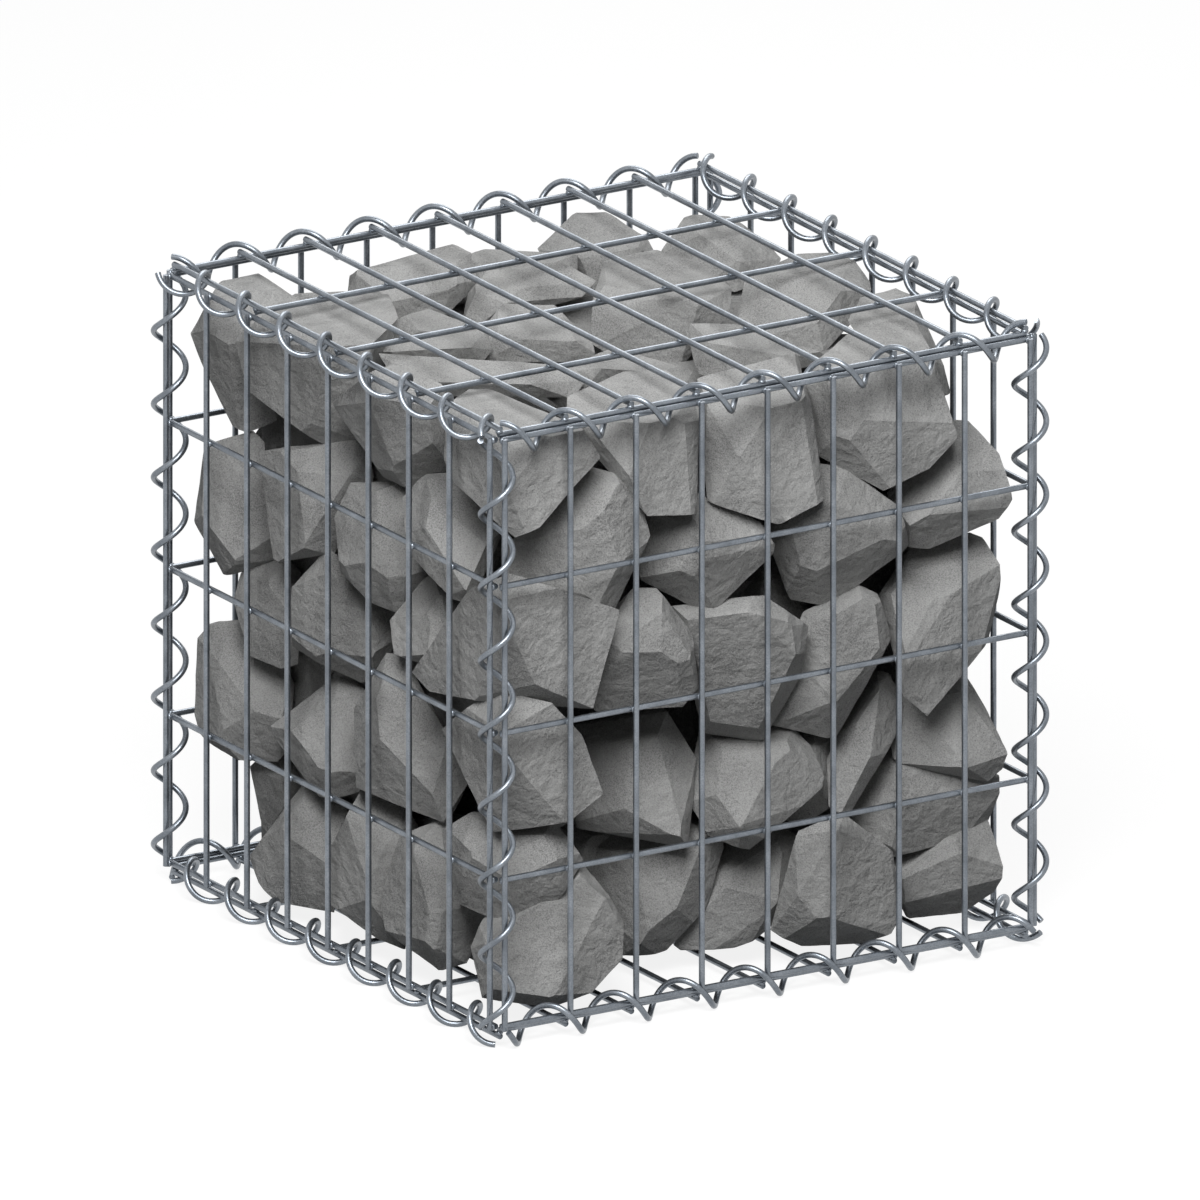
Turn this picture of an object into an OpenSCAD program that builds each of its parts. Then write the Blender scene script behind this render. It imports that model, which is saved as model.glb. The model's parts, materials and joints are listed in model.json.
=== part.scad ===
// Gabion basket: six welded mesh panels laced along all twelve edges by
// spiral binders and filled with broken stone. Millimetres, +Z up, the
// floor at z = 0 and the basket centred on the Z axis.

/* [Basket] */
// Mesh cells along the front, one short pitch each
cells_wide = 8; // [4:1:40]
// Mesh cells along the side, one short pitch each
cells_deep = 8; // [4:1:20]
// Mesh cells in the height, one long pitch each
cells_high = 4; // [2:1:10]

/* [Mesh] */
// Spacing of the outer wires
short_pitch = 50; // [40:1:80]
// Spacing of the rails behind the outer wires
long_pitch = 100; // [60:1:150]
// Thickness of the mesh wire
wire_d = 4; // [3:0.1:5]
// How far a rail runs past the last wire it is welded to
rail_overhang = 0.5; // [0.5:0.1:3]
// How far an outer wire runs past the last rail
upright_overhang = 1.5; // [0.5:0.1:3]
// Room between the edge wires of two panels that meet
panel_clearance = 0.15; // [0.1:0.05:1]
// Room left at each weld, so that every wire is a solid of its own
weld_gap = 0.02; // [0.01:0.01:0.1]

/* [Spirals] */
// How much wider a spiral's bore is than the pair of edge wires in it
spiral_slack = 1.5; // [1:0.1:8]
// Thickness of the spiral wire
spiral_wire_d = 4; // [2:0.1:5]
// Room between a spiral and the outer wires that it hugs
seat_gap = 0.6; // [0.4:0.05:0.9]

/* [Stones] */
// Stones in a row along the front
stones_wide = 4; // [2:1:20]
// Stones in a row along the side
stones_deep = 4; // [2:1:10]
// Room between the spirals and the stones
stone_clearance = 0.6; // [0.5:0.1:20]
// Room between the lid's grid and the highest stones
top_margin = 8; // [5:1:40]
// Room between neighbouring stones where they touch
stone_gap = 0.4; // [0.2:0.1:0.8]
// How far a stone may stray from its place, in parts of its size
wander = 0.19; // [0:0.01:0.25]
// Corners of the block that a stone is broken from
stone_corners = 18; // [10:1:24]
// Number that picks one of many random fillings
stone_seed = 41; // [1:1:200]

/* [Hidden] */
courses = 5;
stones_x = round(stones_wide);
stones_y = round(stones_deep);
wide_cells = round(cells_wide);
deep_cells = round(cells_deep);
high_cells = round(cells_high);
width = wide_cells * short_pitch;
depth = deep_cells * short_pitch;
height = high_cells * long_pitch;
// the lid and base have as many rails as the long pitch fits into the depth
lid_cells = max(1, round(depth / long_pitch));

wire_r = wire_d / 2;
rail_offset = max(wire_r + rail_overhang, wire_d * sqrt(0.5)) + panel_clearance;
outer_offset = rail_offset + wire_d + weld_gap;

// the bore goes round two outer wires that meet at a corner
spiral_bore_r = outer_offset * sqrt(0.5) + wire_r + spiral_slack;
spiral_wire_r = spiral_wire_d / 2;
spiral_r = spiral_bore_r + spiral_wire_r;
spiral_d = 2 * (spiral_r + spiral_wire_r);
spiral_sides = 6;
turn_steps = 12;
// seat on the ends of the wires that cross the edge
end_seat = outer_offset + wire_r + seat_gap - spiral_bore_r;
// seat on the outer wire that runs along the edge
hug_r = spiral_bore_r - wire_r - seat_gap;
side_seat = outer_offset - sqrt(hug_r * hug_r - rail_offset * rail_offset);

// height of the grid's lowest rails: the side spirals stand on the floor
grid_z = side_seat + spiral_d / 2;
mid_z = grid_z + height / 2;

// box that the stones fill, resting on the rails of the base
stone_rest = 0.3;
stone_margin = spiral_d / 2 - min(end_seat, side_seat) + stone_clearance;
fill_w = width - 2 * stone_margin;
fill_d = depth - 2 * stone_margin;
fill_bottom = grid_z - rail_offset + wire_r + stone_rest;
fill_top = grid_z + height - top_margin;
fill_h = fill_top - fill_bottom;
cell = [fill_w / stones_x, fill_d / stones_y, fill_h / courses];
block_reach = 0.7;
golden_angle = 137.5;

// the stones' own numbers, one for each place in the filling
function place(i, j, k) = stone_seed + i + stones_x * (j + stones_y * k);

function stone_centre(i, j, k) =
    let (r = rands(-wander, wander, 3, place(i, j, k)))
    [
        (i + 0.5 + r[0]) * cell[0] - fill_w / 2,
        (j + 0.5 + r[1]) * cell[1] - fill_d / 2,
        (k + 0.5 + r[2]) * cell[2] + fill_bottom
    ];

// corners spread round an ellipsoid and moved in and out at random
function stone_corner_points(i, j, k) =
    let (r = rands(0.86, 1.16, stone_corners, 7 * place(i, j, k)))
    let (turn = rands(0, 360, 1, 3 * place(i, j, k))[0])
    [
        for (n = [0 : stone_corners - 1])
            let (h = 1 - 2 * (n + 0.5) / stone_corners)
            let (q = sqrt(1 - h * h))
            let (a = turn + n * golden_angle)
            block_reach * r[n] * [q * cos(a) * cell[0], q * sin(a) * cell[1], h * cell[2]]
    ];

// everything on the near side of a plane, seen against its normal
module half_space(point, normal) {
    reach = 2 * max(cell);
    translate(point)
        rotate([0, acos(normal[2] / norm(normal)), atan2(normal[1], normal[0])])
            translate([-reach, -reach, -2 * reach])
                cube(2 * reach);
}

module broken_stone(i, j, k) {
    centre = stone_centre(i, j, k);
    others = [
        for (a = [max(0, i - 1) : min(stones_x - 1, i + 1)])
            for (b = [max(0, j - 1) : min(stones_y - 1, j + 1)])
                for (c = [max(0, k - 1) : min(courses - 1, k + 1)])
                    if (a != i || b != j || c != k) stone_centre(a, b, c)
    ];
    intersection() {
        translate(centre)
            hull()
                polyhedron(stone_corner_points(i, j, k), [[for (n = [0 : stone_corners - 1]) n]]);
        intersection_for (other = others) {
            way = other - centre;
            half_space(centre + way * (0.5 - stone_gap / 2 / norm(way)), way);
        }
        translate([-fill_w / 2, -fill_d / 2, fill_bottom])
            cube([fill_w, fill_d, fill_h]);
    }
}

module stone_course(k) {
    color("dimgray")
        for (i = [0 : stones_x - 1])
            for (j = [0 : stones_y - 1])
                broken_stone(i, j, k);
}

// A panel in its own plane, facing +Z: rails along X, outer wires along Y
module mesh_panel(long, high, cells_long, cells_up) {
    for (n = [0 : cells_up])
        translate([-long / 2 - rail_overhang, high * (n / cells_up - 0.5), rail_offset])
            rotate([0, 90, 0])
                cylinder(d = wire_d, h = long + 2 * rail_overhang, $fn = 24);
    for (n = [0 : cells_long])
        translate([long * (n / cells_long - 0.5), -high / 2 - upright_overhang, outer_offset])
            rotate([-90, 0, 0])
                cylinder(d = wire_d, h = high + 2 * upright_overhang, $fn = 24);
}

module side_panel(away, long, cells_long, turn) {
    color("silver")
        rotate([0, 0, turn])
            translate([0, -away / 2, mid_z])
                rotate([90, 0, 0])
                    mesh_panel(long, height, cells_long, high_cells);
}

module front_panel() {
    side_panel(depth, width, wide_cells, 0);
}

module right_panel() {
    side_panel(width, depth, deep_cells, 90);
}

module back_panel() {
    side_panel(depth, width, wide_cells, 180);
}

module left_panel() {
    side_panel(width, depth, deep_cells, 270);
}

module lid_panel() {
    color("silver")
        translate([0, 0, grid_z + height])
            mesh_panel(width, depth, wide_cells, lid_cells);
}

module base_panel() {
    color("silver")
        translate([0, 0, grid_z])
            rotate([180, 0, 0])
                mesh_panel(width, depth, wide_cells, lid_cells);
}

// A right-handed coil along +Z, one turn to each short pitch
function coil_ring(t, rise) =
    let (centre = [spiral_r * cos(t), spiral_r * sin(t), rise])
    let (inward = [-cos(t), -sin(t), 0])
    let (step = [-spiral_r * sin(t), spiral_r * cos(t), short_pitch / (2 * PI)])
    let (across = cross(step, inward) / norm(step))
    [
        for (n = [0 : spiral_sides - 1])
            let (a = 360 * n / spiral_sides)
            centre + spiral_wire_r * (cos(a) * inward + sin(a) * across)
    ];

module coil(long, start) {
    steps = round(turn_steps * long / short_pitch);
    points = [
        for (s = [0 : steps])
            each coil_ring(start + 360 * s / turn_steps, long * (s / steps - 0.5))
    ];
    sides = [
        for (s = [0 : steps - 1])
            for (n = [0 : spiral_sides - 1])
                let (m = (n + 1) % spiral_sides)
                let (low = s * spiral_sides)
                let (high = low + spiral_sides)
                each [[low + n, high + n, high + m], [low + n, high + m, low + m]]
    ];
    first_end = [for (n = [0 : spiral_sides - 1]) n];
    last_end = [for (n = [spiral_sides - 1 : -1 : 0]) steps * spiral_sides + n];
    polyhedron(points, concat([first_end], sides, [last_end]));
}

// Edges that run along X: y and z say which side, start is measured from +Y
module wide_spiral(y, z, start, y_seat = rail_offset, z_seat = end_seat) {
    color("silver")
        translate([0, y * (depth / 2 + y_seat), mid_z + z * (height / 2 + z_seat)])
            rotate(120, [1, 1, 1])
                coil(width, start);
}

// Edges that run along Y: x and z say which side, start is measured from +Z
module deep_spiral(x, z, start) {
    color("silver")
        translate([x * (width / 2 + rail_offset), 0, mid_z + z * (height / 2 + side_seat)])
            rotate(240, [1, 1, 1])
                coil(depth, start);
}

// Upright edges: x and y say which side, start is measured from +X
module corner_spiral(x, y, start) {
    color("silver")
        translate([x * (width / 2 + rail_offset), y * (depth / 2 + side_seat), mid_z])
            coil(height, start);
}

module lid_front_spiral() {
    wide_spiral(-1, 1, 85);
}

module lid_back_spiral() {
    wide_spiral(1, 1, 84);
}

// hugs the uprights of the front panel
module base_front_spiral() {
    wide_spiral(-1, -1, 172, end_seat, rail_offset);
}

module base_back_spiral() {
    wide_spiral(1, -1, 276);
}

module lid_left_spiral() {
    deep_spiral(-1, 1, 280);
}

module lid_right_spiral() {
    deep_spiral(1, 1, 30);
}

module base_left_spiral() {
    deep_spiral(-1, -1, 180);
}

module base_right_spiral() {
    deep_spiral(1, -1, 120);
}

module front_left_spiral() {
    corner_spiral(-1, -1, 150);
}

module front_right_spiral() {
    corner_spiral(1, -1, 15);
}

module back_left_spiral() {
    corner_spiral(-1, 1, 60);
}

module back_right_spiral() {
    corner_spiral(1, 1, 75);
}

base_panel();
front_panel();
right_panel();
back_panel();
left_panel();
lid_panel();
base_front_spiral();
base_right_spiral();
base_back_spiral();
base_left_spiral();
front_left_spiral();
front_right_spiral();
back_right_spiral();
back_left_spiral();
lid_front_spiral();
lid_right_spiral();
lid_back_spiral();
lid_left_spiral();
stone_course(0);  // stone_course_1
stone_course(1);  // stone_course_2
stone_course(2);  // stone_course_3
stone_course(3);  // stone_course_4
stone_course(4);  // stone_course_5
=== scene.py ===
import json
import math

import bmesh
import bpy
from mathutils import Matrix, Vector, geometry, noise

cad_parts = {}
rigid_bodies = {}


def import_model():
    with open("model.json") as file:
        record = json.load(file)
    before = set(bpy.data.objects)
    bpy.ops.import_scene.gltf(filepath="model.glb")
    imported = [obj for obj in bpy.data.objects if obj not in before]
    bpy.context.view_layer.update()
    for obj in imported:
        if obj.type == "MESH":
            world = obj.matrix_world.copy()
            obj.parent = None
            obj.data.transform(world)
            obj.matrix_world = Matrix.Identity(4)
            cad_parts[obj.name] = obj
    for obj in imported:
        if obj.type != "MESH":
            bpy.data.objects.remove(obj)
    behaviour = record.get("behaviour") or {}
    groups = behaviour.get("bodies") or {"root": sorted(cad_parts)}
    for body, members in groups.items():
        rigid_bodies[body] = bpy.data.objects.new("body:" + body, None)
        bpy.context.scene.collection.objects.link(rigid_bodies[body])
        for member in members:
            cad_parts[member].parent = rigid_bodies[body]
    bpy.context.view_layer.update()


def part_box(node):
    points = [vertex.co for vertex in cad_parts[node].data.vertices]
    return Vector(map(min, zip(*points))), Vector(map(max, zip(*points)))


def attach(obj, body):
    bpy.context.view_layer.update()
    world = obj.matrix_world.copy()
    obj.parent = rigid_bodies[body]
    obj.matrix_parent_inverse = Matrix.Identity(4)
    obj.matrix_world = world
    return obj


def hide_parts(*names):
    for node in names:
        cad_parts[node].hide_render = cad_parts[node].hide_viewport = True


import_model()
print("stage: frame loaded")

mm = 0.001
scene = bpy.context.scene
scene.view_settings.view_transform = "Standard"


def linear(hexColour):
    # sRGB hex to the linear colour that Blender's shaders use
    parts = [int(hexColour[i:i + 2], 16) / 255 for i in (1, 3, 5)]
    lin = [c / 12.92 if c <= 0.04045 else ((c + 0.055) / 1.055) ** 2.4 for c in parts]
    return (*lin, 1.0)


def addNode(tree, kind, inputs=None, **settings):
    # adds a node, sets its options, then fills or links its inputs by name or number
    node = tree.nodes.new(kind)
    for key, value in settings.items():
        setattr(node, key, value)
    for key, value in (inputs or {}).items():
        socket = node.inputs[key]
        if isinstance(value, bpy.types.NodeSocket):
            tree.links.new(value, socket)
        else:
            socket.default_value = value
    return node


# sizes of the welded mesh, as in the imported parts

mesh = {
    "cellsWide": 8,
    "cellsDeep": 8,
    "cellsHigh": 4,
    "shortPitch": 50 * mm,
    "longPitch": 100 * mm,
    "wireDiameter": 4.0 * mm,
    "railOffset": 2.98 * mm,
    "outerOffset": 7.0 * mm,
    "railOverhang": 0.5 * mm,
    "uprightOverhang": 1.5 * mm,
    "weldWidth": 5.2 * mm,
    "weldHeight": 3.6 * mm,
    "wireSides": 20,
    "weldFineness": 2,
    "sharpAngle": 50,
}
width = mesh["cellsWide"] * mesh["shortPitch"]
depth = mesh["cellsDeep"] * mesh["shortPitch"]
height = mesh["cellsHigh"] * mesh["longPitch"]

# how high the grid stands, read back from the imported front
frontLow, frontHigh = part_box("front_panel")
midZ = (frontLow[2] + frontHigh[2]) / 2
gridZ = midZ - height / 2
basketMiddle = Vector((0, 0, midZ))


# camera: a long-lens product view, so parallel projection

photo = {
    "azimuth": 31.63,
    "elevation": 18.15,
    "viewWidth": 777.5 * mm,
    "centre": (599.6, 600.2),
    "pixelsPerMm": 1.5434,
    "distance": 3.0,
    "clipEnd": 20.0,
}


def viewAxes():
    a = math.radians(photo["azimuth"])
    e = math.radians(photo["elevation"])
    right = Vector((math.cos(a), -math.sin(a), 0))
    up = Vector((math.sin(a) * math.sin(e), math.cos(a) * math.sin(e), math.cos(e)))
    return right, up, right.cross(up)


viewRight, viewUp, viewBack = viewAxes()


def makeCamera():
    data = bpy.data.cameras.new("photoCamera")
    data.type = "ORTHO"
    data.ortho_scale = photo["viewWidth"]
    data.clip_end = photo["clipEnd"]
    camera = bpy.data.objects.new("photoCamera", data)
    turn = Matrix((viewRight, viewUp, viewBack)).transposed()
    camera.matrix_world = Matrix.Translation(basketMiddle + viewBack * photo["distance"]) @ turn.to_4x4()
    scene.collection.objects.link(camera)
    scene.camera = camera


makeCamera()
print("stage: camera")


# materials

def newMaterial(name):
    material = bpy.data.materials.new(name)
    material.use_nodes = True
    tree = material.node_tree
    return material, tree, tree.nodes["Principled BSDF"]


galvanised = {
    "dark": "#696f76",
    "light": "#92989f",
    # where the noise turns from dark to light, and what is added to it
    "darkUpTo": 0.3,
    "lightFrom": 0.65,
    "lighten": 0.2,
    "spangle": 1.1111 * mm,
    "patch": 16.667 * mm,
    "metallic": 0.85,
    "roughness": (0.26, 0.4),
    "spangleDepth": 0.4 * mm,
}


def galvanisedWire():
    # hot-dip galvanised steel wire: blue-grey zinc, faintly spangled, that mirrors the white studio softly
    material, tree, shader = newMaterial("galvanisedSteelWire")
    place = addNode(tree, "ShaderNodeTexCoord")
    spangle = addNode(tree, "ShaderNodeTexNoise", {
        "Vector": place.outputs["Object"], "Scale": 1 / galvanised["spangle"], "Detail": 3.0,
        "Roughness": 0.6})
    patches = addNode(tree, "ShaderNodeTexNoise", {
        "Vector": place.outputs["Object"], "Scale": 1 / galvanised["patch"], "Detail": 2.0})
    blend = addNode(tree, "ShaderNodeMath", {
        0: spangle.outputs["Fac"], 1: patches.outputs["Fac"], 2: galvanised["lighten"]},
        operation="MULTIPLY_ADD")
    colours = addNode(tree, "ShaderNodeValToRGB", {"Fac": blend.outputs[0]})
    dark, light = colours.color_ramp.elements
    dark.position = galvanised["darkUpTo"]
    dark.color = linear(galvanised["dark"])
    light.position = galvanised["lightFrom"]
    light.color = linear(galvanised["light"])
    tree.links.new(colours.outputs["Color"], shader.inputs["Base Color"])
    smoothest, dullest = galvanised["roughness"]
    rough = addNode(tree, "ShaderNodeMapRange", {
        "Value": spangle.outputs["Fac"], "To Min": smoothest, "To Max": dullest})
    tree.links.new(rough.outputs["Result"], shader.inputs["Roughness"])
    shader.inputs["Metallic"].default_value = galvanised["metallic"]
    bump = addNode(tree, "ShaderNodeBump", {
        "Height": spangle.outputs["Fac"], "Strength": 0.12, "Distance": galvanised["spangleDepth"]})
    tree.links.new(bump.outputs["Normal"], shader.inputs["Normal"])
    return material


brokenStone = {
    "speck": "#767676",
    "body": "#989897",
    "pale": "#acacab",
    # where the noise is a speck, the body colour and pale
    "speckUpTo": 0.36,
    "bodyAt": 0.46,
    "paleFrom": 0.62,
    # sizes of the sandy grain, the dents and the dull patches, and the patches' share in the colour
    "grain": 0.95238 * mm,
    "dent": 9.0909 * mm,
    "patch": 35.714 * mm,
    "patchShare": 0.25,
    "grainDepth": 0.8 * mm,
    "dentDepth": 5 * mm,
    "roughness": 0.92,
    "specular": 0.2,
}


def brokenStoneFace():
    # freshly broken grey limestone: sandy grain with dark specks, shallow dents and faint dull patches
    material, tree, shader = newMaterial("brokenGreyStone")
    place = addNode(tree, "ShaderNodeTexCoord")
    grain = addNode(tree, "ShaderNodeTexNoise", {
        "Vector": place.outputs["Object"], "Scale": 1 / brokenStone["grain"], "Detail": 3.0,
        "Roughness": 0.75})
    dents = addNode(tree, "ShaderNodeTexNoise", {
        "Vector": place.outputs["Object"], "Scale": 1 / brokenStone["dent"], "Detail": 4.0, "Roughness": 0.55,
        "Distortion": 0.3})
    patches = addNode(tree, "ShaderNodeTexNoise", {
        "Vector": place.outputs["Object"], "Scale": 1 / brokenStone["patch"], "Detail": 2.0})
    blend = addNode(tree, "ShaderNodeMix", {
        "Factor": brokenStone["patchShare"], "A": grain.outputs["Fac"], "B": patches.outputs["Fac"]},
        data_type="FLOAT")
    colours = addNode(tree, "ShaderNodeValToRGB", {"Fac": blend.outputs["Result"]})
    stops = colours.color_ramp.elements
    stops[0].position = brokenStone["speckUpTo"]
    stops[0].color = linear(brokenStone["speck"])
    stops[1].position = brokenStone["paleFrom"]
    stops[1].color = linear(brokenStone["pale"])
    body = stops.new(brokenStone["bodyAt"])
    body.color = linear(brokenStone["body"])
    tree.links.new(colours.outputs["Color"], shader.inputs["Base Color"])
    shader.inputs["Roughness"].default_value = brokenStone["roughness"]
    shader.inputs["Specular IOR Level"].default_value = brokenStone["specular"]
    hollows = addNode(tree, "ShaderNodeBump", {
        "Height": dents.outputs["Fac"], "Strength": 0.55, "Distance": brokenStone["dentDepth"]})
    bump = addNode(tree, "ShaderNodeBump", {
        "Height": grain.outputs["Fac"], "Strength": 0.45, "Distance": brokenStone["grainDepth"],
        "Normal": hollows.outputs["Normal"]})
    tree.links.new(bump.outputs["Normal"], shader.inputs["Normal"])
    return material


wireMaterial = galvanisedWire()
stoneMaterial = brokenStoneFace()
print("stage: materials")


# geometry node helpers

def newTree(name, inputs):
    # an empty geometry node group with named inputs: name to (socket type, default or nothing)
    tree = bpy.data.node_groups.new(name, "GeometryNodeTree")
    for key, (kind, default) in inputs.items():
        socket = tree.interface.new_socket(name=key, in_out="INPUT", socket_type=kind)
        if default is not None:
            socket.default_value = default
    tree.interface.new_socket(name="Geometry", in_out="OUTPUT", socket_type="NodeSocketGeometry")
    start = tree.nodes.new("NodeGroupInput")
    return tree, start.outputs


def endTree(tree, shape, material):
    # every tree ends in real geometry with its material on it
    real = addNode(tree, "GeometryNodeRealizeInstances", {"Geometry": shape})
    smooth = addNode(tree, "GeometryNodeSetShadeSmooth", {"Geometry": real.outputs[0]})
    done = addNode(tree, "GeometryNodeSetMaterial", {"Geometry": smooth.outputs[0], "Material": material})
    end = tree.nodes.new("NodeGroupOutput")
    tree.links.new(done.outputs[0], end.inputs[0])


def runTree(tree, name, values, turn):
    # evaluates a tree once and keeps the result as a plain mesh, turned into place
    holder = bpy.data.objects.new(name + "Holder", bpy.data.meshes.new(name + "Holder"))
    scene.collection.objects.link(holder)
    modifier = holder.modifiers.new("nodes", "NODES")
    modifier.node_group = tree
    for item in tree.interface.items_tree:
        if item.in_out == "INPUT" and item.name in values:
            modifier[item.identifier] = values[item.name]
    graph = bpy.context.evaluated_depsgraph_get()
    graph.update()
    result = bpy.data.meshes.new_from_object(holder.evaluated_get(graph))
    bpy.data.objects.remove(holder)
    result.transform(turn)
    result.name = name
    piece = bpy.data.objects.new(name, result)
    scene.collection.objects.link(piece)
    return piece


# mesh panels: rails along X, outer wires along Y, a weld at every crossing, facing +Z

def panelTree():
    real = "NodeSocketFloat"
    whole = "NodeSocketInt"
    tree, given = newTree("weldedPanel", {
        "Long": (real, None), "High": (real, None), "Cells Long": (whole, None), "Cells Up": (whole, None),
        "Wire Diameter": (real, mesh["wireDiameter"]), "Rail Offset": (real, mesh["railOffset"]),
        "Outer Offset": (real, mesh["outerOffset"]), "Rail Overhang": (real, mesh["railOverhang"]),
        "Upright Overhang": (real, mesh["uprightOverhang"]), "Weld Width": (real, mesh["weldWidth"]),
        "Weld Height": (real, mesh["weldHeight"])})

    def calc(a, operation, b):
        return addNode(tree, "ShaderNodeMath", {0: a, 1: b}, operation=operation).outputs[0]

    radius = calc(given["Wire Diameter"], "MULTIPLY", 0.5)

    def wires(length, overhang, spread, cells, alongRail, lift):
        total = calc(length, "ADD", calc(overhang, "MULTIPLY", 2.0))
        wire = addNode(tree, "GeometryNodeMeshCylinder", {
            "Vertices": mesh["wireSides"], "Side Segments": 1, "Radius": radius, "Depth": total},
            fill_type="NGON")
        angle = (0, math.pi / 2, 0) if alongRail else (math.pi / 2, 0, 0)
        laid = addNode(tree, "GeometryNodeTransform", {"Geometry": wire.outputs["Mesh"], "Rotation": angle})
        half = calc(spread, "MULTIPLY", -0.5)
        step = calc(spread, "DIVIDE", cells)
        axis = "Y" if alongRail else "X"
        first = addNode(tree, "ShaderNodeCombineXYZ", {axis: half, "Z": lift})
        offset = addNode(tree, "ShaderNodeCombineXYZ", {axis: step})
        row = addNode(tree, "GeometryNodeMeshLine", {
            "Count": calc(cells, "ADD", 1.0), "Start Location": first.outputs[0],
            "Offset": offset.outputs[0]})
        return addNode(tree, "GeometryNodeInstanceOnPoints", {
            "Points": row.outputs[0], "Instance": laid.outputs[0]}).outputs[0]

    rails = wires(given["Long"], given["Rail Overhang"], given["High"], given["Cells Up"], True,
                  given["Rail Offset"])
    uprights = wires(given["High"], given["Upright Overhang"], given["Long"], given["Cells Long"], False,
                     given["Outer Offset"])
    crossings = addNode(tree, "GeometryNodeMeshGrid", {
        "Size X": given["Long"], "Size Y": given["High"],
        "Vertices X": calc(given["Cells Long"], "ADD", 1.0),
        "Vertices Y": calc(given["Cells Up"], "ADD", 1.0)})
    between = calc(calc(given["Rail Offset"], "ADD", given["Outer Offset"]), "MULTIPLY", 0.5)
    lifted = addNode(tree, "GeometryNodeTransform", {
        "Geometry": crossings.outputs["Mesh"],
        "Translation": addNode(tree, "ShaderNodeCombineXYZ", {"Z": between}).outputs[0]})
    bead = addNode(tree, "GeometryNodeMeshIcoSphere", {"Radius": 0.5, "Subdivisions": mesh["weldFineness"]})
    size = addNode(tree, "ShaderNodeCombineXYZ", {
        "X": given["Weld Width"], "Y": given["Weld Width"], "Z": given["Weld Height"]})
    welds = addNode(tree, "GeometryNodeInstanceOnPoints", {
        "Points": lifted.outputs[0], "Instance": bead.outputs["Mesh"], "Scale": size.outputs[0]})
    joined = addNode(tree, "GeometryNodeJoinGeometry")
    for part in (rails, uprights, welds.outputs[0]):
        tree.links.new(part, joined.inputs[0])
    endTree(tree, joined.outputs[0], wireMaterial)
    return tree


def makePanels():
    tree = panelTree()
    quarter = math.pi / 2
    upright = Matrix.Rotation(quarter, 4, "X")

    def side(away, quarters):
        return (Matrix.Translation(basketMiddle) @ Matrix.Rotation(quarter * quarters, 4, "Z")
                @ Matrix.Translation((0, -away / 2, 0)) @ upright)

    tall = {"High": height, "Cells Up": mesh["cellsHigh"]}
    wide = {"Long": width, "Cells Long": mesh["cellsWide"]}
    deep = {"Long": depth, "Cells Long": mesh["cellsDeep"]}
    flat = {"Long": width, "Cells Long": mesh["cellsWide"], "High": depth,
            "Cells Up": round(depth / mesh["longPitch"])}
    panels = {
        "front_panel": ({**wide, **tall}, side(depth, 0)),
        "right_panel": ({**deep, **tall}, side(width, 1)),
        "back_panel": ({**wide, **tall}, side(depth, 2)),
        "left_panel": ({**deep, **tall}, side(width, 3)),
        "lid_panel": (flat, Matrix.Translation((0, 0, gridZ + height))),
        "base_panel": (flat, Matrix.Translation((0, 0, gridZ)) @ Matrix.Rotation(math.pi, 4, "X")),
    }
    for node, (values, turn) in panels.items():
        piece = runTree(tree, node + "_wires", values, turn)
        piece.data.set_sharp_from_angle(angle=math.radians(mesh["sharpAngle"]))
        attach(piece, "root")
        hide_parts(node)


makePanels()
print("stage: panels")


# spiral binders: one right-handed turn to each mesh cell

spirals = {
    "outerDiameter": 24.9 * mm,
    "wireDiameter": 4.0 * mm,
    "stepsPerTurn": 40,
    "wireSides": 14,
    # start angles, from +Y on the wide edges, +Z on the deep ones and +X on the corners
    "wide": {"lid_front": 85, "lid_back": 84, "base_front": 172, "base_back": 276},
    "deep": {"lid_left": 280, "lid_right": 30, "base_left": 180, "base_right": 120},
    "corner": {"front_left": 150, "front_right": 15, "back_left": 60, "back_right": 75},
}


def spiralTree():
    real = "NodeSocketFloat"
    tree, given = newTree("spiralBinder", {
        "Length": (real, None), "Turns": (real, None), "Radius": (real, None), "Wire Radius": (real, None),
        "Start Angle": (real, None)})
    coil = addNode(tree, "GeometryNodeCurveSpiral", {
        "Resolution": spirals["stepsPerTurn"], "Rotations": given["Turns"], "Start Radius": given["Radius"],
        "End Radius": given["Radius"], "Height": given["Length"], "Reverse": True})
    half = addNode(tree, "ShaderNodeMath", {0: given["Length"], 1: -0.5}, operation="MULTIPLY")
    lift = addNode(tree, "ShaderNodeCombineXYZ", {"Z": half.outputs[0]})
    turn = addNode(tree, "ShaderNodeCombineXYZ", {"Z": given["Start Angle"]})
    placed = addNode(tree, "GeometryNodeTransform", {
        "Geometry": coil.outputs[0], "Translation": lift.outputs[0], "Rotation": turn.outputs[0]})
    section = addNode(tree, "GeometryNodeCurvePrimitiveCircle", {
        "Resolution": spirals["wireSides"], "Radius": given["Wire Radius"]})
    wire = addNode(tree, "GeometryNodeCurveToMesh", {
        "Curve": placed.outputs[0], "Profile Curve": section.outputs[0], "Fill Caps": True})
    endTree(tree, wire.outputs[0], wireMaterial)
    return tree


def nodeMiddle(node):
    low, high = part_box(node)
    return (Vector(low) + Vector(high)) / 2


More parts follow.
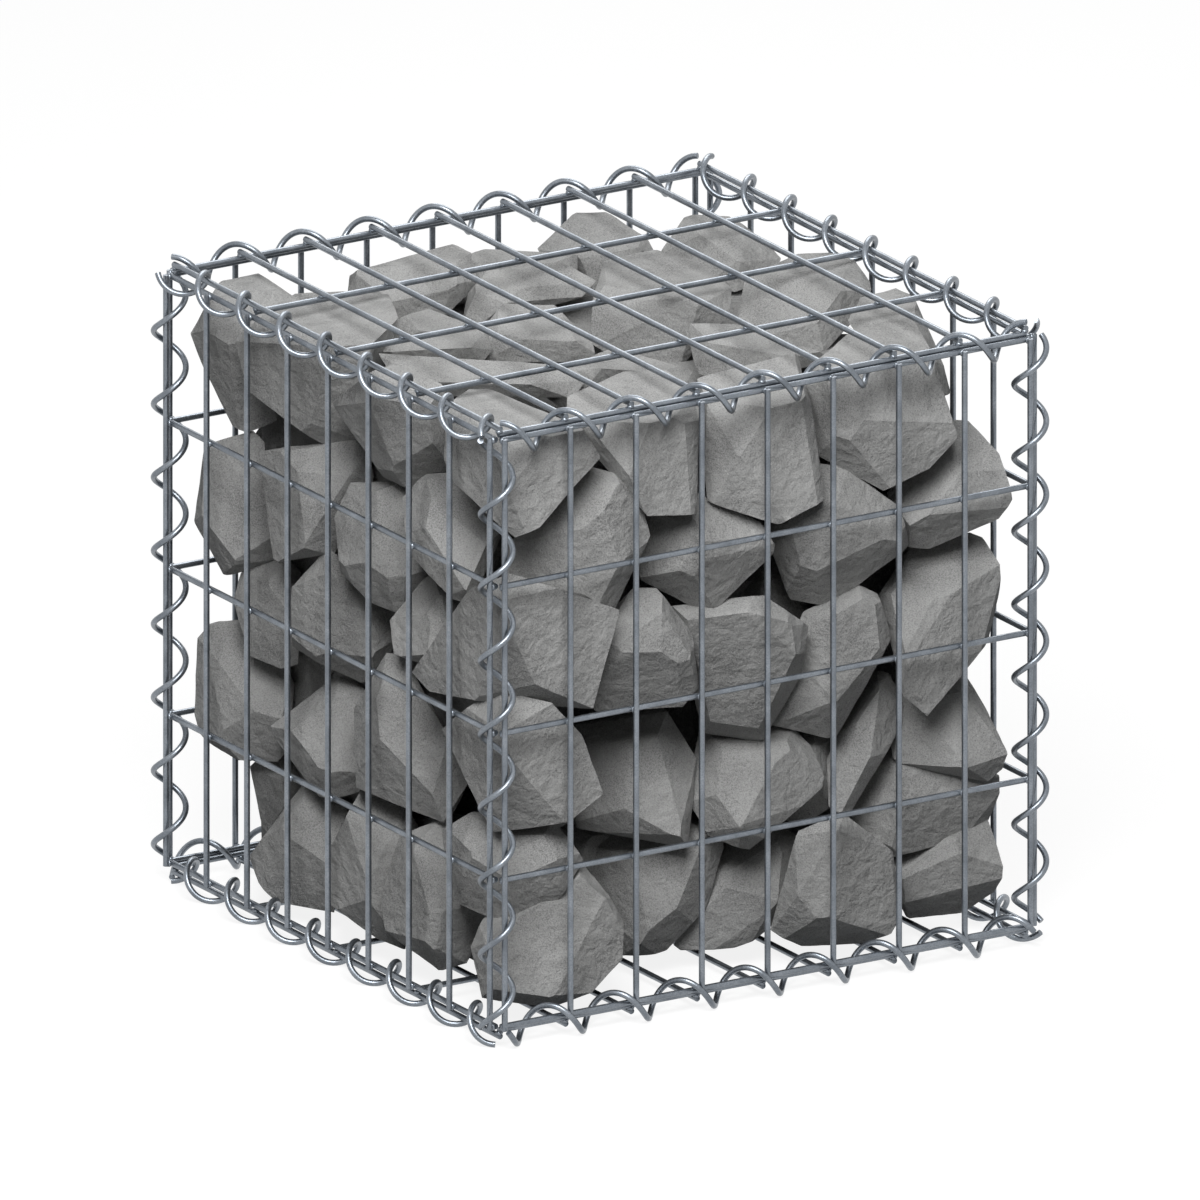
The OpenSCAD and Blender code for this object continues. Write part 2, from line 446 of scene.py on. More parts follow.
def makeSpirals():
    tree = spiralTree()
    third = Matrix.Rotation(math.radians(120), 4, Vector((1, 1, 1)))
    kinds = {"wide": (width, third), "deep": (depth, third @ third), "corner": (height, Matrix.Identity(4))}
    radius = (spirals["outerDiameter"] - spirals["wireDiameter"]) / 2
    for kind, (length, turn) in kinds.items():
        for edge, start in spirals[kind].items():
            node = edge + "_spiral"
            piece = runTree(tree, node + "_wire", {
                "Length": length, "Turns": length / mesh["shortPitch"], "Radius": radius,
                "Wire Radius": spirals["wireDiameter"] / 2, "Start Angle": math.radians(start)},
                Matrix.Translation(nodeMiddle(node)) @ turn)
            piece.data.set_sharp_from_angle(angle=math.radians(mesh["sharpAngle"]))
            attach(piece, "root")
            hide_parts(node)


makeSpirals()
print("stage: spirals")


# stones: read from the photograph, each by its outline and the corners where its facets meet

# each by depth behind the face in mm, tip in degrees, and in photograph pixels its outline and facet corners
leftStones = [
    # top course
    (40, 28, [(193, 333), (205, 311), (222, 284), (257, 276), (293, 299), (282, 340), (276, 415), (262, 426),
          (246, 430), (232, 424), (205, 365)], [(209, 331), (235, 347), (262, 345)]),
    (42, 42, [(242, 341), (268, 310), (300, 296), (345, 295), (384, 300), (396, 320), (376, 342), (356, 378),
          (336, 406), (357, 438), (325, 444), (290, 421), (256, 396), (243, 372)],
     [(262, 343), (330, 350), (372, 342), (320, 412), (304, 431)]),
    (40, 42, [(336, 406), (370, 373), (395, 368), (440, 385), (449, 425), (448, 468), (415, 484), (402, 485),
          (386, 474), (366, 452)], [(371, 400), (430, 405), (432, 440), (392, 470)]),
    (38, 0, [(447, 432), (452, 405), (470, 392), (482, 392), (520, 403), (560, 420), (585, 438), (597, 456),
          (590, 462), (540, 524), (521, 533), (507, 530), (480, 505), (456, 481), (447, 460)],
     [(490, 437), (545, 434), (583, 450), (484, 466), (510, 491), (540, 522)]),
    (130, 0, [(258, 433), (270, 415), (300, 412), (345, 435), (330, 447), (272, 449)], [(300, 432)]),
    # second course
    (36, 14, [(197, 513), (205, 453), (235, 438), (252, 433), (264, 445), (264, 480), (274, 540), (280, 557),
          (262, 562), (232, 573), (224, 572), (196, 522)], [(200, 514), (227, 547), (234, 565), (270, 540)]),
    (42, 6, [(264, 452), (300, 446), (330, 443), (357, 440), (368, 452), (372, 480), (345, 520), (338, 540),
          (326, 552), (280, 560), (272, 530), (262, 475)],
     [(283, 452), (294, 472), (300, 505), (305, 549), (330, 502), (350, 475)]),
    (38, 4, [(337, 525), (342, 500), (355, 485), (376, 487), (402, 484), (412, 500), (420, 545), (428, 570),
          (414, 597), (398, 612), (372, 601), (350, 580), (342, 567), (338, 545)],
     [(376, 490), (374, 515), (345, 567), (372, 564), (386, 577), (407, 577)]),
    (40, -16, [(405, 500), (412, 487), (426, 478), (447, 474), (456, 482), (482, 512), (500, 532), (487, 550),
          (478, 580), (470, 603), (455, 598), (430, 575), (412, 552), (407, 530)],
     [(426, 480), (433, 500), (424, 528), (466, 590), (486, 545)]),
    # third course
    (46, 0, [(238, 600), (241, 577), (252, 566), (275, 560), (287, 561), (300, 575), (298, 600), (296, 650),
          (292, 664), (277, 667), (253, 652), (246, 640), (240, 615)],
     [(270, 578), (284, 567), (268, 590), (286, 612)]),
    (46, 18, [(294, 590), (300, 580), (318, 562), (328, 553), (340, 560), (372, 590), (398, 612), (396, 640),
          (386, 655), (372, 678), (345, 672), (312, 660), (295, 640), (293, 610)],
     [(332, 575), (362, 615), (376, 650), (318, 656)]),
    (44, -16, [(393, 623), (405, 602), (415, 592), (432, 578), (450, 588), (466, 602), (460, 630), (445, 655),
          (432, 662), (398, 655), (393, 640)], [(425, 612), (430, 623), (428, 655), (447, 622), (441, 595)]),
    (38, 24, [(413, 672), (432, 655), (463, 603), (480, 585), (510, 580), (560, 590), (600, 605), (617, 618),
          (602, 645), (600, 668), (588, 706), (556, 700), (500, 700), (478, 700), (430, 690)],
     [(502, 600), (572, 606), (567, 650), (531, 683), (485, 677), (430, 668)]),
    # fourth course
    (38, 0, [(197, 648), (200, 638), (210, 626), (242, 622), (262, 640), (287, 672), (290, 717), (284, 750),
          (276, 760), (240, 758), (215, 745), (205, 735), (198, 715)],
     [(211, 646), (226, 682), (234, 700), (250, 711), (284, 718), (216, 737)]),
    (110, 0, [(276, 656), (300, 646), (342, 656), (350, 690), (330, 720), (300, 728), (280, 712)],
     [(312, 684)]),
    (44, -8, [(278, 730), (288, 712), (325, 688), (345, 680), (362, 690), (366, 705), (358, 730), (357, 772),
          (357, 790), (331, 798), (310, 780), (290, 762)],
     [(292, 728), (312, 766), (333, 773), (356, 770), (335, 700)]),
    (40, 12, [(356, 718), (377, 667), (391, 656), (404, 658), (425, 690), (444, 733), (465, 783), (456, 805),
          (447, 820), (432, 810), (406, 807), (372, 795), (357, 785)],
     [(378, 690), (375, 730), (406, 770), (446, 818), (441, 731)]),
    (38, 12, [(445, 735), (463, 708), (500, 697), (547, 703), (566, 722), (592, 755), (594, 797), (573, 816),
          (553, 822), (506, 829), (494, 828), (480, 802), (455, 754)],
     [(503, 732), (556, 730), (515, 762), (540, 792)]),
    (44, 0, [(446, 830), (470, 815), (505, 822), (552, 823), (576, 853), (566, 895), (522, 926), (485, 917),
          (455, 896), (447, 870)], [(503, 838), (543, 834), (556, 862), (504, 882), (470, 850)]),
    (70, 10, [(253, 767), (258, 762), (285, 757), (305, 775), (300, 800), (285, 825), (268, 832), (262, 822),
          (258, 800)], [(280, 782), (286, 805)]),
]
frontStones = [
    # top course
    (38, 0, [(568, 402), (590, 388), (625, 376), (665, 374), (690, 392), (697, 420), (693, 512), (672, 514),
          (645, 512), (635, 490), (600, 458), (585, 440), (570, 425)],
     [(590, 428), (640, 422), (682, 424), (651, 488), (632, 480)]),
    (38, 0, [(700, 385), (726, 370), (792, 361), (800, 380), (812, 408), (815, 440), (817, 498), (787, 519),
          (769, 516), (713, 505), (705, 482), (703, 420)],
     [(707, 404), (764, 405), (805, 404), (738, 457), (762, 467), (808, 466)]),
    (38, 15, [(806, 387), (820, 358), (848, 340), (863, 328), (917, 327), (924, 350), (942, 396), (953, 439),
          (928, 467), (902, 480), (885, 488), (858, 472), (839, 457), (816, 453), (812, 419)],
     [(838, 438), (848, 438), (870, 422), (928, 432), (868, 352), (920, 352), (826, 382)]),
    # second course
    (42, 15, [(507, 573), (510, 539), (539, 526), (576, 492), (589, 473), (612, 472), (630, 487), (648, 531),
          (639, 550), (632, 570), (610, 609), (602, 608), (582, 602), (563, 595), (528, 585)],
     [(620, 484), (602, 509), (578, 535), (620, 567), (594, 604)]),
    (46, 15, [(640, 530), (655, 505), (690, 495), (706, 499), (757, 525), (772, 543), (771, 553), (710, 612),
          (665, 591), (639, 576)], [(692, 530), (704, 540), (684, 560), (676, 574), (700, 575)]),
    (44, 20, [(773, 550), (770, 520), (789, 510), (819, 466), (839, 469), (858, 479), (894, 507), (905, 530),
          (904, 545), (868, 576), (838, 599), (825, 605), (794, 596), (779, 571)],
     [(788, 523), (797, 567), (830, 563), (898, 540), (835, 505)]),
    (44, 0, [(951, 423), (967, 424), (997, 454), (1004, 477), (1010, 498), (990, 518), (962, 534), (940, 548),
          (908, 545), (902, 520), (889, 496), (917, 460)],
     [(909, 528), (928, 518), (966, 510), (990, 512), (960, 470)]),
    (140, 15, [(700, 610), (725, 590), (760, 560), (785, 560), (805, 600), (805, 625), (760, 640),
          (715, 630)], [(760, 600)]),
    # third course
    (40, 15, [(595, 640), (599, 628), (617, 614), (631, 590), (655, 591), (670, 609), (688, 632), (693, 655),
          (695, 688), (678, 709), (630, 705), (592, 704), (598, 674)],
     [(600, 642), (617, 647), (660, 658), (690, 660), (662, 612)]),
    (48, 32, [(673, 609), (700, 603), (760, 600), (785, 610), (801, 628), (805, 655), (790, 690), (771, 722),
          (761, 739), (726, 735), (704, 730), (696, 690), (690, 645)],
     [(689, 621), (745, 612), (788, 622), (797, 652), (758, 729), (709, 722)]),
    (46, 15, [(797, 630), (810, 612), (830, 607), (858, 588), (876, 596), (885, 619), (888, 637), (882, 655),
          (866, 681), (838, 734), (829, 736), (799, 730), (771, 722), (785, 680)],
     [(828, 618), (862, 600), (876, 605), (880, 650), (836, 702)]),
    (40, -16, [(885, 589), (904, 558), (912, 547), (951, 542), (967, 535), (982, 539), (998, 566), (999, 576),
          (991, 617), (981, 643), (958, 670), (928, 715), (912, 701), (903, 683), (894, 660), (887, 630)],
     [(893, 592), (914, 626), (940, 602), (966, 586), (994, 569), (905, 670)]),
    # fourth course
    (115, -8, [(576, 728), (620, 716), (661, 708), (675, 735), (693, 757), (690, 805), (686, 843), (670, 845),
          (640, 833), (600, 825), (577, 824), (585, 790), (580, 760)],
     [(661, 733), (636, 751), (618, 809), (680, 838), (664, 712)]),
    (70, -15, [(691, 802), (692, 765), (703, 735), (735, 728), (770, 725), (790, 727), (812, 754), (822, 777),
          (806, 797), (784, 821), (760, 838), (738, 847), (706, 829)],
     [(720, 741), (722, 765), (716, 797), (741, 831), (764, 767), (790, 746), (755, 812)]),
    (90, -6, [(797, 729), (812, 724), (828, 736), (834, 760), (828, 803), (812, 818), (795, 822), (780, 815),
          (785, 770)], [(815, 750), (812, 795)]),
    (64, -10, [(838, 735), (855, 705), (876, 673), (889, 676), (900, 706), (893, 745), (871, 765), (866, 784),
          (840, 811), (827, 803), (832, 760)], [(856, 722), (868, 762), (880, 690)]),
    (56, -14, [(886, 690), (905, 682), (952, 684), (967, 680), (978, 702), (1004, 753), (1002, 767),
          (985, 780), (930, 768), (900, 762), (888, 725)], [(954, 693), (970, 703), (968, 768), (910, 700)]),
    (72, 10, [(839, 812), (866, 780), (871, 761), (893, 748), (930, 757), (981, 770), (992, 776), (993, 787),
          (992, 798), (984, 822), (968, 838), (930, 847), (891, 856), (876, 848), (861, 839), (843, 821)],
     [(902, 768), (985, 785), (990, 800), (898, 805), (893, 850)]),
]
baseStones = [
    (0, 0, [(253, 861), (262, 843), (268, 828), (283, 815), (298, 795), (310, 785), (328, 795), (345, 812),
         (342, 840), (334, 870), (332, 900), (334, 910), (300, 904), (278, 899), (262, 885), (257, 872)],
     [(281, 827), (291, 843), (325, 861), (303, 800)]),
    (0, 0, [(335, 838), (352, 805), (358, 793), (375, 795), (405, 808), (415, 825), (404, 850), (395, 880),
         (390, 905), (394, 925), (404, 947), (385, 940), (368, 932), (348, 908), (332, 900), (331, 870)],
     [(343, 827), (356, 808), (398, 832), (368, 870), (372, 905), (350, 906)]),
    (0, 0, [(382, 905), (388, 880), (400, 840), (412, 832), (445, 821), (452, 835), (466, 870), (487, 900),
         (485, 920), (474, 945), (462, 962), (441, 968), (428, 962), (410, 945), (386, 925)],
     [(413, 868), (433, 916), (446, 912), (432, 950), (415, 840)]),
    (0, -8, [(475, 945), (479, 930), (488, 918), (522, 895), (579, 868), (610, 898), (621, 930), (620, 960),
         (587, 993), (556, 1004), (538, 1003), (507, 1001), (483, 993), (475, 958)],
     [(483, 944), (491, 991), (508, 926), (580, 874), (606, 900), (552, 997)]),
    (0, 0, [(579, 845), (589, 836), (612, 834), (640, 830), (688, 820), (718, 829), (721, 850), (711, 876),
         (703, 908), (670, 944), (653, 953), (622, 954), (605, 925), (595, 890), (580, 866)],
     [(698, 862), (682, 900), (641, 943), (705, 832), (640, 858)]),
    (0, -12, [(720, 853), (729, 840), (769, 826), (785, 830), (794, 838), (796, 880), (792, 905), (770, 925),
         (747, 941), (724, 947), (681, 947), (673, 943), (700, 905)],
     [(727, 883), (783, 857), (776, 835), (775, 905), (715, 872)]),
    (0, 20, [(794, 879), (796, 839), (812, 828), (828, 818), (843, 818), (876, 840), (889, 855), (896, 890),
         (897, 917), (889, 930), (863, 941), (838, 943), (798, 942), (773, 930), (787, 912)],
     [(842, 892), (820, 922), (836, 923), (893, 889), (797, 896), (838, 830)]),
    (0, 12, [(892, 868), (920, 845), (955, 830), (984, 818), (990, 838), (1001, 868), (997, 881), (970, 907),
         (942, 914), (909, 916), (902, 906), (895, 885)],
     [(955, 836), (955, 851), (904, 879), (970, 885), (904, 904)]),
]
topStones = [
    (24, 0, [(350, 291), (352, 276), (385, 264), (425, 253), (452, 246), (470, 256), (474, 280), (458, 303),
          (440, 314), (398, 319), (384, 303)], [(356, 275), (410, 262), (460, 262), (455, 285), (392, 305)]),
    (30, 0, [(394, 330), (398, 320), (430, 313), (460, 322), (475, 330), (470, 345), (440, 350), (400, 345)],
     [(420, 330), (455, 335)]),
    (22, 0, [(455, 262), (464, 257), (502, 252), (542, 252), (575, 260), (576, 285), (530, 300), (480, 300)],
     [(500, 262), (550, 264)]),
    (26, 0, [(466, 318), (470, 290), (482, 276), (500, 270), (545, 266), (570, 268), (592, 283), (580, 296),
          (520, 312), (480, 325)], [(475, 292), (520, 288), (505, 304)]),
    (22, 0, [(541, 250), (556, 233), (567, 222), (580, 216), (604, 214), (625, 226), (645, 240), (655, 258),
          (640, 278), (598, 292), (568, 272)], [(600, 240), (575, 255), (640, 250)]),
    (24, 25, [(593, 330), (596, 300), (605, 263), (655, 252), (700, 265), (729, 289), (727, 312), (703, 322),
          (691, 353), (676, 365), (635, 356), (596, 345)],
     [(605, 285), (655, 285), (697, 275), (700, 305), (690, 300)]),
    (26, 0, [(470, 350), (487, 335), (500, 310), (548, 305), (563, 320), (589, 341), (592, 353), (568, 362),
          (512, 361), (475, 358)], [(495, 335), (530, 340), (575, 341)]),
    (26, 0, [(378, 352), (385, 345), (420, 338), (460, 333), (484, 333), (490, 350), (480, 362), (400, 366)],
     [(390, 352), (470, 348)]),
    (22, 0, [(384, 360), (450, 360), (505, 361), (568, 366), (583, 381), (575, 392), (520, 396), (440, 398),
          (400, 385)], [(440, 384), (530, 384)]),
    (26, 0, [(572, 372), (590, 358), (615, 351), (660, 362), (690, 372), (680, 388), (620, 390), (585, 388)],
     [(600, 368), (650, 372)]),
    (24, 0, [(664, 252), (684, 220), (695, 217), (733, 219), (747, 231), (778, 259), (770, 275), (735, 290),
          (700, 285)], [(700, 235), (745, 240), (740, 262)]),
    (24, 0, [(740, 320), (742, 295), (748, 283), (775, 265), (800, 257), (830, 256), (851, 260), (868, 290),
          (862, 310), (845, 325), (820, 350), (780, 350), (745, 345)], [(790, 275), (840, 290), (818, 322)]),
    (26, 0, [(688, 327), (705, 325), (745, 330), (790, 340), (816, 358), (795, 372), (745, 376), (703, 374),
          (692, 350)], [(705, 340), (760, 345), (790, 358)]),
    (24, 0, [(850, 322), (862, 300), (897, 290), (909, 303), (935, 345), (946, 375), (946, 393), (938, 395),
          (915, 370), (870, 350)], [(890, 305), (915, 325), (935, 365)]),
]

fill = {
    # the box that the stones' points are kept in: half its width, its bottom and its top
    "reach": 192 * mm,
    "low": 13.8 * mm,
    "top": 407 * mm,
    # how steeply facets rise from the outline toward the camera
    "slope": 1.0,
    "edgeLift": 12 * mm,
    "lift": 26 * mm,
    # how flat stones lie against a side, and how gently that turns from one side to the next
    "flatness": 0.5,
    "soften": 15 * mm,
    # the depths in the tables are multiplied by this
    "forward": 0.6,
    # hull faces within this angle of each other make one facet
    "facetAngle": 22,
    "sharpAngle": 6,
    # how far a facet's tip may stand past the hull before it is chipped off
    "chip": 2.5 * mm,
    # the block that a stone is cut from, and the nearest that two of its corners may be
    "block": 400 * mm,
    "cornerGap": 0.5 * mm,
    # outlines widened by this many pixels, so that neighbours touch
    "grow": 2.5,
    # the body behind the outline: its depth and width against the outline's mean radius
    "bodyDepth": 1.7,
    "bodyTaper": 0.85,
    # how often each triangle of a facet is cut in four, and how far its edges are smoothed
    "cuts": 3,
    "rounding": 0.08,
    # unevenness of the broken faces: its height, then waves to the metre with their share of it
    "roughness": 0.9 * mm,
    "waves": ((45, 0.7), (140, 0.3)),
    # how far the unevenness moves on from one stone to the next
    "waveShift": (1.7, 0.9, 2.3),
    "courses": 5,
    # corners of a packed stone this near are one
    "sameCorner": 0.05 * mm,
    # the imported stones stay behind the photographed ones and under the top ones
    "leftRoom": 50 * mm,
    "frontRoom": 80 * mm,
    "underTop": 368 * mm,
    # and are drawn in, step by step, until the photographed outlines, widened by so many pixels, cover them
    "maskGrow": 5,
    "tuckTries": 10,
    "tuckStep": 6 * mm,
    "tuckShrink": 0.96,
}


def sightStart(pixel):
    # where a pixel's sight line crosses the plane through the basket's middle that is square to the view
    across = (pixel[0] - photo["centre"][0]) / photo["pixelsPerMm"] * mm
    rise = (photo["centre"][1] - pixel[1]) / photo["pixelsPerMm"] * mm
    return basketMiddle + viewRight * across + viewUp * rise


def photoPoint(pixel, toward):
    # a pixel's sight line, followed toward the camera but not out of the basket
    start = sightStart(pixel)
    nearest, farthest = math.inf, -math.inf
    reach = fill["reach"]
    for axis, low, high in ((0, -reach, reach), (1, -reach, reach), (2, fill["low"], fill["top"])):
        ends = sorted(((low - start[axis]) / viewBack[axis], (high - start[axis]) / viewBack[axis]))
        farthest, nearest = max(farthest, ends[0]), min(nearest, ends[1])
    if farthest > nearest:
        return start + viewBack * (farthest + nearest) / 2
    return start + viewBack * min(max(toward, farthest), nearest)


def sightDistance(pixel, spot, normal):
    # how far toward the camera a pixel's sight line meets a plane
    return normal.dot(spot - sightStart(pixel)) / normal.dot(viewBack)


def insideOutline(pixel, outline):
    hits = False
    for (x1, y1), (x2, y2) in zip(outline, outline[1:] + outline[:1]):
        if (y1 > pixel[1]) != (y2 > pixel[1]):
            if pixel[0] < x1 + (pixel[1] - y1) / (y2 - y1) * (x2 - x1):
                hits = not hits
    return hits


def edgeDistance(pixel, outline):
    # how far a facet corner is from the outline, in metres
    spot = Vector(pixel)
    best = math.inf
    for a, b in zip(outline, outline[1:] + outline[:1]):
        share = geometry.intersect_point_line(spot, Vector(a), Vector(b))[1]
        near = Vector(a).lerp(Vector(b), min(max(share, 0), 1))
        best = min(best, (spot - near).length)
    return best / photo["pixelsPerMm"] * mm


def outlineMiddle(outline):
    return [sum(c) / len(outline) for c in zip(*outline)]


def widened(outline, amount):
    # every pixel of an outline moved straight away from its middle
    middle = Vector(outlineMiddle(outline))
    return [tuple(Vector(p) + (Vector(p) - middle).normalized() * amount) for p in outline]


def stonePoints(face, inset, turned, outline, corners):
    # a stone lies partly square to the view and partly flat against the sides of the basket that it is near
    reach = fill["reach"]
    middle = outlineMiddle(outline)
    outline = widened(outline, fill["grow"])
    inner = Vector((inset - reach, inset - reach, fill["low"] if face == "base" else fill["top"] - inset))
    normal = {"left": Vector((-1, 0, 0)), "front": Vector((0, -1, 0))}.get(face, Vector((0, 0, 1)))
    anchor = max(outline, key=lambda p: p[1]) if face == "base" else middle
    foot = photoPoint(anchor, sightDistance(anchor, inner, normal))
    room = fill["soften"]
    lean = Vector((-1 / (foot[0] + reach + room), -1 / (foot[1] + reach + room),
                   1 / (fill["top"] - foot[2] + room)))
    facing = viewBack.lerp(lean.normalized(), fill["flatness"]).normalized()
    facing.rotate(Matrix.Rotation(math.radians(turned), 3, viewRight))

    radius = sum(math.dist(p, middle) for p in outline) / len(outline) / photo["pixelsPerMm"] * mm
    rim = [photoPoint(p, sightDistance(p, foot, facing)) for p in outline]
    peaks = []
    for p in corners:
        roof = fill["lift"] - fill["edgeLift"]
        lift = fill["edgeLift"] + roof * (1 - math.exp(-fill["slope"] * edgeDistance(p, outline) / roof))
        peaks.append(photoPoint(p, sightDistance(p, foot, facing) + lift))
    behind = []
    for p in outline[::2]:
        drawnIn = [m + (c - m) * fill["bodyTaper"] for c, m in zip(p, middle)]
        behind.append(photoPoint(drawnIn, sightDistance(p, foot, facing) - radius * fill["bodyDepth"]))
    return rim + peaks + behind


def hullFaces(points):
    # normal, middle and area of every face of the points' convex hull
    bm = bmesh.new()
    for p in points:
        bm.verts.new(p)
    bmesh.ops.convex_hull(bm, input=bm.verts)
    bm.normal_update()
    faces = [(f.normal.copy(), f.calc_center_median(), f.calc_area()) for f in bm.faces]
    bm.free()
    return faces


def hullMesh(points):
    # hull faces that nearly line up become one flat facet, and the stone is what lies behind all facets
    faces = sorted(hullFaces(points), key=lambda f: -f[2])
    nearly = math.cos(math.radians(fill["facetAngle"]))
    planes = []
    while faces:
        lead = faces[0][0]
        group = [f for f in faces if f[0].dot(lead) > nearly]
        faces = [f for f in faces if f[0].dot(lead) <= nearly]
        area = sum(f[2] for f in group)
        normal = sum((f[0] * f[2] for f in group), Vector()).normalized()
        planes.append((normal, sum((f[1] * f[2] for f in group), Vector()) / area))
    centre = sum(points, Vector()) / len(points)
    for p in points:
        # a chipped tip where the facets would meet too far out
        ray = (p - centre).normalized()
        planes.append((ray, centre + ray * (max(ray.dot(q - centre) for q in points) + fill["chip"])))
    bm = bmesh.new()
    bmesh.ops.create_cube(bm, size=fill["block"], matrix=Matrix.Translation(centre))
    for normal, spot in planes:
        cut = bmesh.ops.bisect_plane(bm, geom=bm.verts[:] + bm.edges[:] + bm.faces[:], plane_co=spot,
                                     plane_no=normal, clear_outer=True)
        rim = [e for e in cut["geom_cut"] if isinstance(e, bmesh.types.BMEdge)]
        if len(rim) > 2:
            bmesh.ops.edgeloop_fill(bm, edges=rim)
    bmesh.ops.remove_doubles(bm, verts=bm.verts, dist=fill["cornerGap"])
    bm.normal_update()
    for e in bm.edges:
        e.smooth = e.calc_face_angle(0) < math.radians(fill["sharpAngle"])
    return bm


def weather(bm, seed):
    # finer faces, edges a little rounded, then uneven broken faces
    bmesh.ops.triangulate(bm, faces=bm.faces)
    for step in range(fill["cuts"]):
        bmesh.ops.subdivide_edges(bm, edges=bm.edges, cuts=1, use_grid_fill=True)
        bmesh.ops.triangulate(bm, faces=bm.faces)
    bmesh.ops.smooth_vert(bm, verts=bm.verts, factor=fill["rounding"], use_axis_x=True, use_axis_y=True,
                          use_axis_z=True)
    bm.normal_update()
    shift = Vector([seed * s for s in fill["waveShift"]])
    for v in bm.verts:
        wave = sum(noise.noise(v.co * scale + shift) * share for scale, share in fill["waves"])
        v.co += v.normal * wave * fill["roughness"]
        # no deeper than the rails of the base, on which the stones rest
        v.co.z = max(v.co.z, fill["low"])
    bm.normal_update()


def packedStones():
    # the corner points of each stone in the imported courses, in the same order every run
    for number in range(fill["courses"]):
        node = bpy.data.objects["stone_course_%d" % (number + 1)]
        bm = bmesh.new()
        bm.from_mesh(node.data)
        bmesh.ops.remove_doubles(bm, verts=bm.verts, dist=fill["sameCorner"])
        bm.verts.index_update()
        taken = set()
        for first in bm.verts:
            if first in taken:
                continue
            taken.add(first)
            island = [first]
            for v in island:
                for other in (e.other_vert(v) for e in v.link_edges):
                    if other not in taken:
                        taken.add(other)
                        island.append(other)
            island.sort(key=lambda v: v.index)
            yield [node.matrix_world @ v.co for v in island]
        bm.free()


def spreadStones():
    # every stone as its list of points: the photographed ones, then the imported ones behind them
    tables = {"left": leftStones, "front": frontStones, "base": baseStones, "top": topStones}
    shapes = []
    masks = []
    for face, table in tables.items():
        for inset, turned, outline, corners in table:
            shapes.append(stonePoints(face, inset * fill["forward"] * mm, turned, outline, corners))
            masks.append(widened(outline, fill["maskGrow"]))

    def hidden(points):
        # whether the photographed stones cover these points
        for p in points:
            across, rise = viewRight.dot(p), viewUp.dot(p - basketMiddle)
            pixel = (photo["centre"][0] + across / mm * photo["pixelsPerMm"],
                     photo["centre"][1] - rise / mm * photo["pixelsPerMm"])
            if not any(insideOutline(pixel, mask) for mask in masks):
                return False
        return True

    def tucked(points):
        # drawn in toward the basket's middle until covered, or nothing
        for tries in range(fill["tuckTries"]):
            if hidden(points):
                return points
            centre = sum(points, Vector()) / len(points)
            inward = (basketMiddle - centre).normalized() * fill["tuckStep"]
            points = [centre + (p - centre) * fill["tuckShrink"] + inward for p in points]
        return None

    left, front = fill["leftRoom"] - fill["reach"], fill["frontRoom"] - fill["reach"]
    for points in packedStones():
        behind = [Vector((max(p[0], left), max(p[1], front), min(p[2], fill["underTop"]))) for p in points]
        covered = tucked(behind)
        if covered:
            shapes.append(covered)
    return shapes


def makeStones():
    courses = fill["courses"]
    groups = [bmesh.new() for n in range(courses)]
    for number, points in enumerate(spreadStones()):
        bm = hullMesh(points)
        if not bm.verts:
            continue
        centre = sum((v.co for v in bm.verts), Vector()) / len(bm.verts)
        weather(bm, number)
        level = int((centre[2] - fill["low"]) / (fill["top"] - fill["low"]) * courses)
        data = bpy.data.meshes.new("stone")
        bm.to_mesh(data)
        bm.free()
        groups[min(max(level, 0), courses - 1)].from_mesh(data)
        bpy.data.meshes.remove(data)
    for number, bm in enumerate(groups):
        node = "stone_course_%d" % (number + 1)
        data = bpy.data.meshes.new(node + "_stones")
        for f in bm.faces:
            f.smooth = True
        bm.to_mesh(data)
        bm.free()
        data.validate()
        data.materials.append(stoneMaterial)
        piece = bpy.data.objects.new(node + "_stones", data)
        scene.collection.objects.link(piece)
        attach(piece, "root")
        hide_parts(node)
        print("stones in course", number + 1, len(data.polygons), "faces")


makeStones()
print("stage: stones")


# floor and light

studio = {
    "white": "#ffffff",
    "floorReach": 6.0,
    "floorRoughness": 0.9,
    # how much of the floor's white is its own, so that only a faint shadow shows
    "floorGlow": 0.82,
    "glowStrength": 1.05,
    "floorBounce": "#4c4c4c",
    "sky": 0.08,
    "backdrop": 1.0,
    "keyPower": 55.0,
    "keySize": 1.1,
    "keyPlace": (-0.93, -1.22, 1.8),
    "rimPower": 28.0,
    "rimSize": 1.4,
    "rimPlace": (1.0, 1.3, 1.9),
}


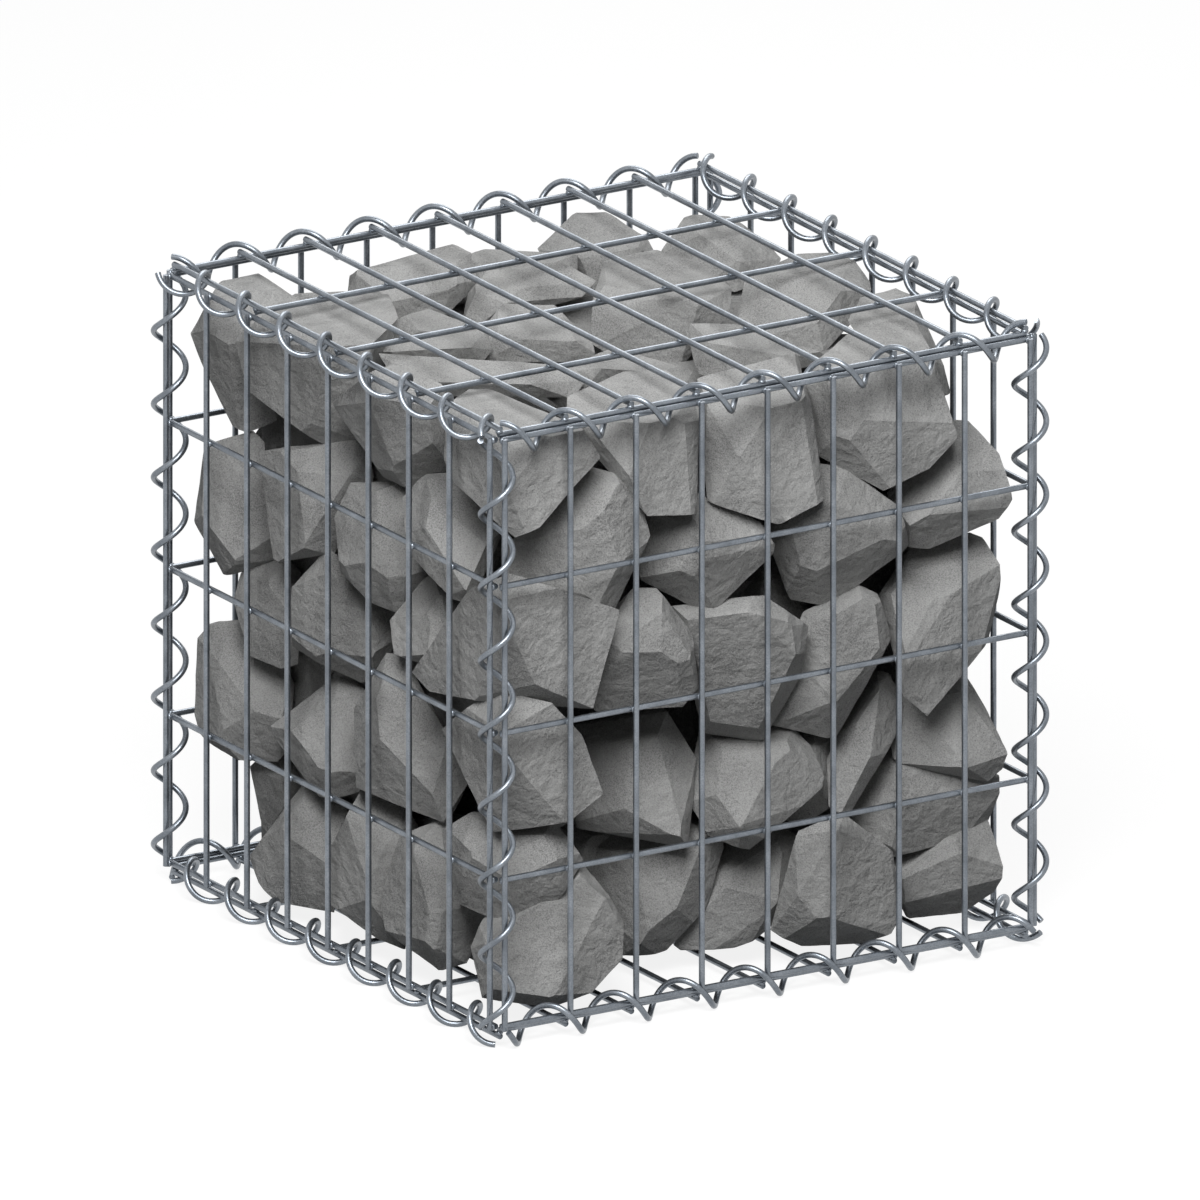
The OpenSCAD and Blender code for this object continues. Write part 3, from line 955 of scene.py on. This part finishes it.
def seenRay(tree):
    # 1 where the camera looks, also by way of metal, and 0 for the light on the object
    rays = addNode(tree, "ShaderNodeLightPath")
    seen = rays.outputs["Is Camera Ray"]
    for kind in ("Is Glossy Ray", "Is Transmission Ray"):
        either = addNode(tree, "ShaderNodeMath", {0: seen, 1: rays.outputs[kind]}, operation="MAXIMUM")
        seen = either.outputs[0]
    return seen


def makeStudio():
    bm = bmesh.new()
    bmesh.ops.create_grid(bm, x_segments=1, y_segments=1, size=studio["floorReach"])
    data = bpy.data.meshes.new("floor")
    bm.to_mesh(data)
    bm.free()
    floor = bpy.data.objects.new("floor", data)
    scene.collection.objects.link(floor)
    # white studio floor: white to the camera and in the wire, grey to the light that it throws back
    material, tree, shader = newMaterial("whiteStudioFloor")
    shader.inputs["Base Color"].default_value = linear(studio["floorBounce"])
    shader.inputs["Roughness"].default_value = studio["floorRoughness"]
    paper = addNode(tree, "ShaderNodeBsdfDiffuse", {"Color": linear(studio["white"])})
    glow = addNode(tree, "ShaderNodeEmission", {
        "Color": linear(studio["white"]), "Strength": studio["glowStrength"]})
    white = addNode(tree, "ShaderNodeMixShader", {
        0: studio["floorGlow"], 1: paper.outputs[0], 2: glow.outputs[0]})
    both = addNode(tree, "ShaderNodeMixShader", {0: seenRay(tree), 1: shader.outputs[0], 2: white.outputs[0]})
    tree.links.new(both.outputs[0], tree.nodes["Material Output"].inputs["Surface"])
    data.materials.append(material)

    world = bpy.data.worlds.new("studio")
    scene.world = world
    world.use_nodes = True
    sky = world.node_tree.nodes["Background"]
    sky.inputs["Color"].default_value = linear(studio["white"])
    shown = addNode(world.node_tree, "ShaderNodeMapRange", {
        "Value": seenRay(world.node_tree), "To Min": studio["sky"], "To Max": studio["backdrop"]})
    world.node_tree.links.new(shown.outputs["Result"], sky.inputs["Strength"])

    for name in ("key", "rim"):
        light = bpy.data.lights.new(name, "AREA")
        light.energy = studio[name + "Power"]
        light.size = studio[name + "Size"]
        lamp = bpy.data.objects.new(name, light)
        lamp.location = studio[name + "Place"]
        toward = Vector(lamp.location) - basketMiddle
        lamp.rotation_euler = toward.to_track_quat("Z", "Y").to_euler()
        scene.collection.objects.link(lamp)


makeStudio()
print("stage: studio")
